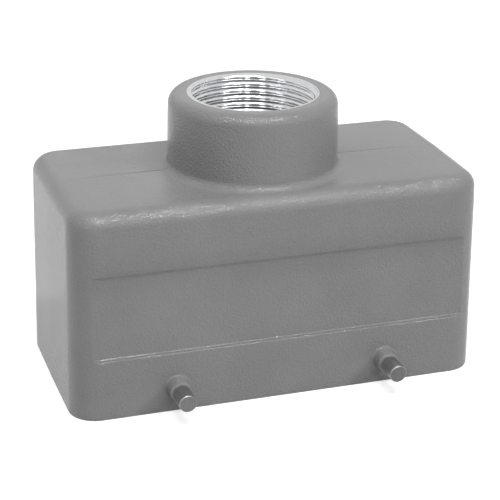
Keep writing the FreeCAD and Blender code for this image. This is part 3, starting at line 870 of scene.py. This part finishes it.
    def upper_rows(self, column: tuple[str, float]) -> list[tuple[float, float, float]]:
        """The upper part of a column, from the mouth of the thread to the top of the wall.

        Args:
            column: its kind and place.

        Returns:
            X, Y and Z of its points.
        """
        line = self.roof_line(column)
        x, y = self.plan_point(column, self.height, self.top_round)
        turn = math.atan2(y, x)
        stop, centre = self.foot(line)
        profile = [(self.mouth_radius, self.thread_end), (self.mouth_radius, self.boss_top)]
        inner = self.boss_radius - self.boss_round
        profile.append(((self.mouth_radius + inner) / 2, self.boss_top))
        profile += arc((inner, self.boss_top - self.boss_round), self.boss_round, 90, 1, 10)
        touch = centre[1] + self.foot_round * math.sin(math.radians(self.boss_draft))
        for z in np.linspace(self.boss_top - self.boss_round, touch, 6)[1:-1]:
            profile.append((self.boss_side(z), z))
        end = np.array([np.hypot(line[stop, 0], line[stop, 1]), line[stop, 2]])
        last = math.degrees(math.atan2(end[1] - centre[1], end[0] - centre[0]))
        profile += arc(centre, self.foot_round, 181, last % 360, 9)[:-1]
        rows = [(r * math.cos(turn), r * math.sin(turn), z) for r, z in profile]
        kept = line[: stop + 1]
        step = np.linalg.norm(np.diff(kept[:, :3], axis=0), axis=1) / self.row_length
        turns = np.diff(kept[:, 3]) / self.row_turn
        weight = np.concatenate([[0], np.cumsum(step + turns)])
        for w in np.linspace(weight[-1], 0, self.roof_rows):
            rows.append(tuple(np.interp(w, weight, kept[:, i]) for i in range(3)))
        return rows

    def wall_heights(self) -> list[float]:
        """Where the rows of the outer wall lie, close together at the panel's edges.

        Returns:
            Their heights from top to bottom.
        """
        top = self.height - self.top_round
        start = self.panel_high + self.panel_edge_rise
        dense_high = np.linspace(start, start - self.panel_edge, 9)
        dense_low = [
            self.panel_low + lift + t * self.step_rise
            for lift in (0.0, self.ledge_rise)
            for t in (-0.5, 0.0, 0.5)
        ]
        heights = {top - 3, top - 6, *self.wall_rows, *dense_high, *dense_low}
        return sorted(heights, reverse=True)

    def wall_point(self, column: tuple[str, float], z: float) -> tuple[float, float, float]:
        """A point of the outer wall, pressed in where the shallow panel is.

        Args:
            column: its kind and place.
            z: its height.

        Returns:
            X, Y and Z.
        """
        x, y = self.plan_point(column, z, 0)
        side = self.plan.half(z)[1]
        floor = self.plan.half(self.panel_low)[1] - self.panel_depth
        rises = [z - self.panel_low - lift for lift in (0.0, self.ledge_rise)]
        inside = sum(np.clip(rise / self.step_rise + 0.5, 0, 1) for rise in rises) / 2
        inside *= smooth((self.panel_high + self.panel_edge_rise - z) / self.panel_edge)
        inside *= smooth((self.panel_half - x) / self.panel_end_edge + 0.5)
        return (x, min(y, side - inside * (side - floor)), z)

    def lower_rows(self, column: tuple[str, float]) -> list[tuple[float, float, float]]:
        """The lower part of a column: down the wall, over the rim and up to the thread.

        Args:
            column: its kind and place.

        Returns:
            X, Y and Z of its points.
        """
        rows = [self.wall_point(column, z) for z in self.wall_heights()]
        path = [
            (self.rim_round * (1 - math.cos(a)), self.rim_round * (1 - math.sin(a)))
            for a in np.radians(np.linspace(0, 90, 6))
        ]
        edge = self.rebate_edge
        path += [(self.rim_row, 0), (self.rebate_wall - edge, 0), (self.rebate_wall, edge)]
        path += [(self.rebate_wall, z) for z in (self.rebate_row, self.rebate_depth)]
        path += [(self.wall - edge, self.rebate_depth), (self.wall, self.rebate_depth + edge)]
        path += [(self.wall, z) for z in self.hollow_rows]
        for inset, z in path:
            rows.append((*self.plan_point(column, z, inset), z))
        ceiling = self.height - self.roof_wall
        for a in np.radians(np.linspace(0, 90, 7)):
            inset = self.wall + self.inner_round * (1 - math.cos(a))
            x, y = self.plan_point(column, ceiling, inset)
            drop = self.roof_wall + self.inner_round * (1 - math.sin(a))
            rows.append((x, y, self.ridge(y, drop)))
        x, y, _ = rows[-1]
        reach = math.hypot(x, y)
        for radius in np.linspace(reach, self.entry_radius, 7)[1:]:
            scale = radius / reach
            rows.append((x * scale, y * scale, self.ridge(y * scale, self.roof_wall)))
        x, y, _ = rows[-1]
        rows.append((x, y, self.thread_end))
        return rows

    def mesh(self) -> bpy.types.Mesh:
        """Builds the skin from one quarter and its mirror images.

        Returns:
            The closed mesh.
        """
        quarter = np.array([self.upper_rows(c) + self.lower_rows(c) for c in self.columns()])
        flip_x, flip_y = np.array([-1, 1, 1]), np.array([1, -1, 1])
        back = quarter[::-1][1:]
        around = np.concatenate(
            [quarter, back * flip_x, quarter[1:] * flip_x * flip_y, back[:-1] * flip_y]
        )
        rings = around.transpose(1, 0, 2)
        rows, count = rings.shape[:2]
        return mesh_from(rings.reshape(-1, 3), loop_faces(rows, count, True))

    def build(self, finishes: Finishes) -> bpy.types.Object:
        """Makes the hood's skin and dresses it in powder coat.

        Args:
            finishes: the object's finishes.

        Returns:
            The piece.
        """
        piece = finished_piece("hood_shell", self.mesh(), finishes.coat)
        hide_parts("hood_casting")
        return piece


@dataclass
class CableThread:
    """The cut thread of the cable entry, as the bright sleeve inside the boss.

    Of each turn, the share flank widens upwards. The mouth narrows by mouth_slope millimetres
    for each millimetre down, and the groove runs out over the lowest run_out turns.
    """

    outer: float = 14.49
    major: float = 14.15
    core: float = 13.39
    pitch: float = 1.5875
    top: float = 62.99
    bottom: float = 48.41
    flank: float = 0.66
    mouth_slope: float = 8.0
    run_out: float = 1.2
    around: int = 128
    along: int = 190

    def build(self, finishes: Finishes) -> bpy.types.Object:
        """Makes the sleeve with its helical thread and lead-in.

        Args:
            finishes: the object's finishes.

        Returns:
            The piece.
        """
        tree = GeometryTree("cable_thread")
        outer = tree.size("Outer radius", self.outer * MM)
        major = tree.size("Major radius", self.major * MM)
        core = tree.size("Core radius", self.core * MM)
        pitch = tree.size("Pitch", self.pitch * MM)
        top = tree.size("Top", self.top * MM)
        bottom = tree.size("Bottom", self.bottom * MM)
        around = tree.size("Points around", self.around + 1)
        along = tree.size("Points along", self.along)

        def skin(rows: Value, radius_at: Rule, height_at: Rule) -> bpy.types.NodeSocket:
            """A tube wall whose radius and height follow two rules.

            Args:
                rows: how many points it has along its length.
                radius_at: gives the radius from the share of the length, the turn and the height.
                height_at: gives the height from the share of the length.

            Returns:
                The wall.
            """
            grid = tree.node(
                "GeometryNodeMeshGrid", Size_X=1.0, Size_Y=1.0, Vertices_X=around, Vertices_Y=rows
            )
            spot = tree.node("GeometryNodeInputPosition").outputs[0]
            u, v, _ = tree.axes(spot)
            share, turn = v + 0.5, (u + 0.5) * (2 * math.pi)
            height = height_at(share)
            radius = radius_at(share, turn, height)
            place = tree.node(
                "ShaderNodeCombineXYZ",
                X=radius * turn.math("COSINE"),
                Y=radius * turn.math("SINE"),
                Z=height,
            )
            moved = tree.node(
                "GeometryNodeSetPosition", Geometry=grid.outputs["Mesh"], Position=place.outputs[0]
            )
            return moved.outputs[0]

        def cut_radius(share: Field, turn: Field, height: Field) -> Field:
            """Radius of the threaded wall, opened by the lead-in and closed at the bottom.

            Args:
                share: the share of the length.
                turn: the angle round the axis.
                height: the height.

            Returns:
                The radius.
            """
            share_up = (height / pitch - turn / (2 * math.pi)).math("FRACT")
            rising, falling = share_up / self.flank, (1.0 - share_up) / (1 - self.flank)
            groove = rising.math("MINIMUM", falling).ramp(0.02, 0.98)
            fade = ((height - bottom) / pitch).ramp(0.0, self.run_out)
            threaded = core + (major - core) * groove * fade
            cone = outer - (top - height) * self.mouth_slope
            return threaded.math("MAXIMUM", cone)

        def climb(share: Field) -> Field:
            """The height that rises from the bottom to the top."""
            return bottom + (top - bottom) * share

        walls = [
            skin(along, cut_radius, climb),
            skin(2, lambda share, turn, height: outer, climb),
            skin(2, lambda share, turn, height: core + (outer - core) * share, lambda _: bottom),
        ]
        both = tree.node("GeometryNodeJoinGeometry")
        for wall in walls:
            tree.tree.links.new(wall, both.inputs[0])
        tree.finish(both.outputs[0])
        piece = tree.piece("cable_thread", finishes.bare)
        return piece


@dataclass
class SideKnobs:
    """What stands on the long walls: four cast peg bosses and their turned pegs."""

    spacing: float = 47.8
    rise: float = 5.75
    wall_y: float = 22.98
    boss_foot: float = 2.65
    boss_top: float = 2.4
    boss_height: float = 3.1
    boss_edge: float = 0.8
    flare: float = 0.5
    flare_sink: float = 0.02
    hole: float = 1.6
    neck: float = 0.15
    radius: float = 1.95
    reach: float = 5.3
    seat: float = 4.5
    tip: float = 0.3
    root: float = 1.2
    skirt: float = 0.3
    sink: float = 0.03
    hole_depth: float = 0.5
    hole_gap: float = 0.02
    shoulder_edge: float = 0.08

    def spread(self, name: str) -> GeometryTree:
        """The tree that sets four copies of a piece on the long walls.

        Args:
            name: the tree's name.

        Returns:
            The tree; its mesh points to +Z from the wall.
        """
        tree = GeometryTree(name, takes_mesh=True)
        spots = tree.node(
            "GeometryNodeMeshGrid",
            Size_X=tree.size("Spacing", self.spacing * MM),
            Size_Y=tree.size("Width", 2 * self.wall_y * MM),
            Vertices_X=2,
            Vertices_Y=2,
        )
        _, y, _ = tree.axes(tree.node("GeometryNodeInputPosition").outputs[0])
        lean = y.math("SIGN") * (-math.pi / 2)
        turn = tree.node("ShaderNodeCombineXYZ", X=lean)
        euler = tree.node("FunctionNodeEulerToRotation", Euler=turn.outputs[0])
        lift = tree.node("ShaderNodeCombineXYZ", Z=tree.size("Rise", self.rise * MM))
        lifted = tree.node(
            "GeometryNodeSetPosition", Geometry=spots.outputs["Mesh"], Offset=lift.outputs[0]
        )
        copies = tree.node(
            "GeometryNodeInstanceOnPoints",
            Points=lifted.outputs[0],
            Instance=tree.entry.outputs["Mesh"],
            Rotation=euler.outputs[0],
        )
        tree.finish(copies.outputs[0])
        return tree

    def boss_profile(self) -> list[tuple[float, float]]:
        """The outline of a cast boss from inside the wall to its face.

        Returns:
            Radius and height of its points.
        """
        slope = math.degrees(math.atan2(self.boss_foot - self.boss_top, self.boss_height))
        foot = self.boss_foot + self.flare
        skirt = foot + self.skirt
        profile = [(0, -self.root), (skirt, -self.root), (skirt, -self.sink)]
        reach = self.flare + self.flare_sink
        profile += arc((foot, self.flare), reach, 270, 180 + slope, 8)
        edge = (self.boss_top - self.boss_edge, self.boss_height - self.boss_edge)
        profile += arc(edge, self.boss_edge, slope, 90, 6)
        floor = self.boss_height - self.hole_depth
        return [*profile, (self.hole, self.boss_height), (self.hole, floor), (0, floor)]

    def peg_profile(self) -> list[tuple[float, float]]:
        """The outline of a peg above the wall, from its seat to its tip.

        Returns:
            Radius and height of its points.
        """
        base = self.boss_height - self.seat
        end = self.boss_height + self.reach
        shoulder = self.boss_height + self.neck
        inner = self.hole - self.hole_gap
        return [
            (0, base),
            (inner, base),
            (inner, shoulder),
            (self.radius - self.shoulder_edge, shoulder),
            (self.radius, shoulder + self.shoulder_edge),
            (self.radius, (shoulder + end) / 2),
            *arc((self.radius - self.tip, end - self.tip), self.tip, 12, 78, 5),
            (self.radius - self.tip - 0.05, end),
            (self.radius * 0.5, end),
            (0, end),
        ]

    def build(self, finishes: Finishes) -> list[bpy.types.Object]:
        """Makes the four bosses and the four pegs.

        Args:
            finishes: the object's finishes.

        Returns:
            The bosses as one piece and the pegs as another.
        """
        bosses = self.spread("peg_bosses").piece(
            "peg_bosses", finishes.coat, turned_mesh(self.boss_profile(), 72)
        )
        pegs = self.spread("locking_pegs").piece(
            "locking_pegs", finishes.peg, turned_mesh(self.peg_profile(), 72)
        )
        names = [f"peg_{side}_{end}" for side in ("front", "back") for end in ("left", "right")]
        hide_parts(*names)
        return [bosses, pegs]


@dataclass
class ScrewPosts:
    """The four posts inside the hood, webbed to the walls beside them."""

    plan: Outline = field(default_factory=Outline)
    span_x: float = 77.5
    span_y: float = 27.0
    radius: float = 4.4
    face: float = 17.0
    top: float = 45.0
    hole: float = 2.0
    hole_depth: float = 10.0
    edge: float = 0.4
    chamfer: float = 0.5
    web_sink: float = 1.5

    def ring(self, inset: float) -> list[tuple[float, float]]:
        """The outline of the post at the corner on +X and +Y, with its webs into the walls.

        Args:
            inset: how far the outline is set in.

        Returns:
            X and Y of its points.
        """
        x, y = self.span_x / 2, self.span_y / 2
        reach = self.radius - inset
        half_x, half_y = self.plan.half(self.top)
        wall_x, wall_y = half_x - self.web_sink, half_y - self.web_sink
        bow = arc((x, y), reach, 180, 270, 12)
        return [
            (x + reach, wall_y),
            (x, wall_y),
            (x - reach, wall_y),
            *bow,
            (wall_x, y - reach),
            (wall_x, y),
            (wall_x, y + reach),
            (x + reach, y + reach),
        ]

    def post(self, sign_x: int, sign_y: int) -> tuple[np.ndarray, list[tuple[int, ...]]]:
        """One post as closed rings from its top, over its face, into its hole.

        Args:
            sign_x: the post's side along X, 1 or -1.
            sign_y: the post's side along Y, 1 or -1.

        Returns:
            Its points and its faces.
        """
        x, y = self.span_x / 2, self.span_y / 2
        outer = np.array(self.ring(0.0))
        count = len(outer)
        angles = np.arctan2(outer[:, 1] - y, outer[:, 0] - x)
        ray = np.stack([np.cos(angles), np.sin(angles)], axis=1)
        hole = (x, y) + self.hole * ray
        sunk = (x, y) + (self.hole + self.chamfer) * ray
        levels = [
            (outer, self.top),
            (outer, self.face + self.edge),
            (np.array(self.ring(self.edge * 0.3)), self.face + self.edge * 0.3),
            (np.array(self.ring(self.edge)), self.face),
            (sunk, self.face),
            (hole, self.face + self.chamfer),
            (hole, self.face + self.hole_depth),
        ]
        points = [(*xy, z) for ring, z in levels for xy in ring]
        faces = loop_faces(len(levels), count, False)
        faces.append(tuple(range(count)))
        faces.append(tuple(range(len(points) - count, len(points))))
        return np.array(points) * (sign_x, sign_y, 1), faces

    def build(self, finishes: Finishes) -> bpy.types.Object:
        """Makes the posts as one piece.

        Args:
            finishes: the object's finishes.

        Returns:
            The piece.
        """
        points, faces = [], []
        for sign_x in (-1, 1):
            for sign_y in (-1, 1):
                one, its_faces = self.post(sign_x, sign_y)
                start = sum(len(p) for p in points)
                points.append(one)
                faces += [tuple(v + start for v in face) for face in its_faces]
        mesh = mesh_from(np.concatenate(points), faces)
        piece = finished_piece("screw_posts", mesh, finishes.coat)
        return piece


@dataclass
class CarriedNodes:
    """Nodes of the frame whose shape is right and that only get a finish."""

    nodes: dict[str, bpy.types.Object]

    def dress(self, names: list[str], material: bpy.types.Material) -> None:
        """Gives a finish to nodes.

        Args:
            names: the nodes.
            material: the finish.
        """
        for name in names:
            node = self.nodes[name]
            if not node.material_slots:
                node.data.materials.append(material)
            for holder in node.material_slots:
                holder.material = material

    def build(self, finishes: Finishes) -> None:
        """Dresses the insert, its contacts, the earth parts and the screws.

        Args:
            finishes: the object's finishes.
        """
        self.dress(["insert_body"], finishes.plastic)
        self.dress([n for n in self.nodes if n.startswith("contact_")], finishes.silver)
        self.dress(["earth_plate_left", "earth_plate_right"], finishes.earth)
        self.dress(["earth_terminal_left", "earth_terminal_right"], finishes.silver)
        screws = ["terminal_screws", "earth_screws", "fixing_screws", "spring_washers"]
        self.dress(screws, finishes.screw)


# Studio


class Reach(Enum):
    """Whether a lamp lights dull surfaces and whether it is mirrored in glossy ones."""

    DULL = (True, False)
    MIRROR = (False, True)
    BOTH = (True, True)


@dataclass(frozen=True)
class Lamp:
    """An area lamp that points at the object from one metre away.

    Its bearing is counted in degrees from the front towards +X and its rise in degrees above
    the floor. Its size is in metres and its power in watts.
    """

    name: str
    bearing: float
    rise: float
    size: tuple[float, float]
    power: float
    reach: Reach = Reach.MIRROR

    def build(self) -> None:
        """Makes the lamp and turns it to the middle of the object."""
        data = bpy.data.lights.new(self.name, "AREA")
        data.shape = "RECTANGLE"
        data.size, data.size_y = self.size
        data.energy = self.power
        lamp = bpy.data.objects.new(self.name, data)
        turn, lift = math.radians(self.bearing), math.radians(self.rise)
        flat = math.cos(lift)
        way = Vector((math.sin(turn) * flat, -math.cos(turn) * flat, math.sin(lift)))
        lamp.location = way + Vector((0, 0, LAMP_TARGET))
        lamp.rotation_euler = (-way).to_track_quat("-Z", "Y").to_euler()
        lamp.visible_diffuse, lamp.visible_glossy = self.reach.value
        bpy.context.scene.collection.objects.link(lamp)


@dataclass
class Studio:
    """Pale floor, soft surroundings, lamps and the camera of the photograph.

    The floor's glow rises to plain white between floor_fade's two distances from the object,
    in metres. A strength named mirror is what glossy surfaces see.
    """

    floor_size: float = 6.0
    floor_drop: float = 0.00002
    floor_white: float = 0.62
    floor_glow: float = 0.6
    floor_mirror: float = 0.22
    floor_fade: tuple[float, float] = (0.25, 0.8)
    sky_diffuse: float = 0.02
    sky_mirror: float = 0.77
    lens: float = 115.2737
    eye: tuple[float, float, float] = (-0.106457, -0.318215, 0.164325)
    right: tuple[float, float, float] = (0.949991, -0.312065, 0.011525)
    up: tuple[float, float, float] = (0.109153, 0.366411, 0.924028)
    back: tuple[float, float, float] = (-0.29258, -0.876561, 0.38215)
    lamps: tuple[Lamp, ...] = (
        Lamp("top_box", 0.0, 89.0, (1.0, 1.0), 2.8, Reach.DULL),
        Lamp("soft_corner", -46.0, 30.0, (0.5, 0.5), 1.2, Reach.DULL),
        Lamp("soft_right", 37.0, 25.0, (0.16, 0.16), 3.5, Reach.DULL),
        Lamp("soft_left", -120.0, 30.0, (0.7, 0.6), 4.0, Reach.DULL),
        Lamp("key_spot", 4.0, 64.0, (0.8, 0.022), 8.4, Reach.BOTH),
        Lamp("patch_right", 37.0, 27.0, (0.18, 0.2), 0.4),
        Lamp("key_box", 22.0, 33.0, (0.55, 0.1), 1.3),
        Lamp("strip_right", -6.6, 30.0, (0.12, 0.5), 0.8),
        Lamp("strip_left", -36.0, 30.0, (0.16, 0.5), 0.7),
        Lamp("left_box", -65.0, 30.0, (0.45, 0.1), 0.6),
    )

    def ray_strength(self, tree: Tree, camera: Value, mirror: float, other: float) -> Field:
        """A strength that differs by the kind of ray.

        Args:
            tree: the node tree that uses it.
            camera: strength for rays from the camera.
            mirror: strength for rays off a gloss or through glass.
            other: strength for the light on dull surfaces.

        Returns:
            The strength.
        """
        path = tree.node("ShaderNodeLightPath")
        kinds = ("Camera", "Glossy", "Transmission")
        seen, gloss, clear = [Field(tree, path.outputs[f"Is {kind} Ray"]) for kind in kinds]
        glossy = (gloss + clear).math("MINIMUM", 1.0)
        return seen * (camera - other) + glossy * (mirror - other) + other

    def make_floor(self) -> None:
        """Makes the floor, which looks white where no shadow falls."""
        half = self.floor_size / 2
        corners = [(-half, -half), (half, -half), (half, half), (-half, half)]
        mesh = bpy.data.meshes.new("floor")
        mesh.from_pydata([(x, y, -self.floor_drop) for x, y in corners], [], [(0, 1, 2, 3)])
        floor = bpy.data.objects.new("floor", mesh)
        bpy.context.scene.collection.objects.link(floor)
        shader = Shader("studio_floor", Roughness=0.9)
        shader.put(shader.surface.inputs["Base Color"], (*(self.floor_white,) * 3, 1.0))
        shader.put(shader.surface.inputs["Specular IOR Level"], 0.0)
        shader.put(shader.surface.inputs["Emission Color"], (1.0, 1.0, 1.0, 1.0))
        x, y, _ = shader.axes(shader.place)
        away = (x * x + y * y).math("SQRT")
        seen = shader.blend(away, *self.floor_fade, self.floor_glow, 1.0)
        glow = self.ray_strength(shader, seen, self.floor_mirror, 0.0)
        shader.put(shader.surface.inputs["Emission Strength"], glow)
        mesh.materials.append(shader.material)

    def make_surroundings(self) -> None:
        """Makes the white surroundings."""
        world = bpy.data.worlds.new("studio")
        world.use_nodes = True
        bpy.context.scene.world = world
        tree = Tree(world.node_tree)
        world.node_tree.nodes.clear()
        strength = self.ray_strength(tree, 1.0, self.sky_mirror, self.sky_diffuse)
        glow = tree.node("ShaderNodeBackground", Color=(1, 1, 1, 1), Strength=strength)
        out = world.node_tree.nodes.new("ShaderNodeOutputWorld")
        world.node_tree.links.new(glow.outputs[0], out.inputs["Surface"])

    def make_camera(self) -> None:
        """Makes the camera at the photograph's place and angle."""
        data = bpy.data.cameras.new("photo_camera")
        data.sensor_fit = "HORIZONTAL"
        data.sensor_width = 36.0
        data.lens = self.lens
        data.clip_start, data.clip_end = 0.01, 20.0
        camera = bpy.data.objects.new("photo_camera", data)
        rows = [(self.right[i], self.up[i], self.back[i], self.eye[i]) for i in range(3)]
        camera.matrix_world = Matrix([*rows, (0, 0, 0, 1)])
        bpy.context.scene.collection.objects.link(camera)
        bpy.context.scene.camera = camera

    def build(self) -> None:
        """Sets up the whole studio."""
        self.make_floor()
        self.make_surroundings()
        self.make_camera()
        for lamp in self.lamps:
            lamp.build()
        bpy.context.scene.view_settings.view_transform = "Standard"


def main() -> None:
    """Builds the looks around the frame, piece by piece."""
    logging.basicConfig(level=logging.INFO, format="%(message)s")
    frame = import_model()
    finishes = Finishes()
    for builder in (HoodShell(), CableThread(), SideKnobs(), ScrewPosts()):
        made = builder.build(finishes)
        for piece in made if isinstance(made, list) else [made]:
            log.info("%s: %d faces", piece.name, len(piece.data.polygons))
    CarriedNodes(frame["nodes"]).build(finishes)
    log.info("insert: nodes dressed")
    Studio().build()


if __name__ == "__main__":
    main()
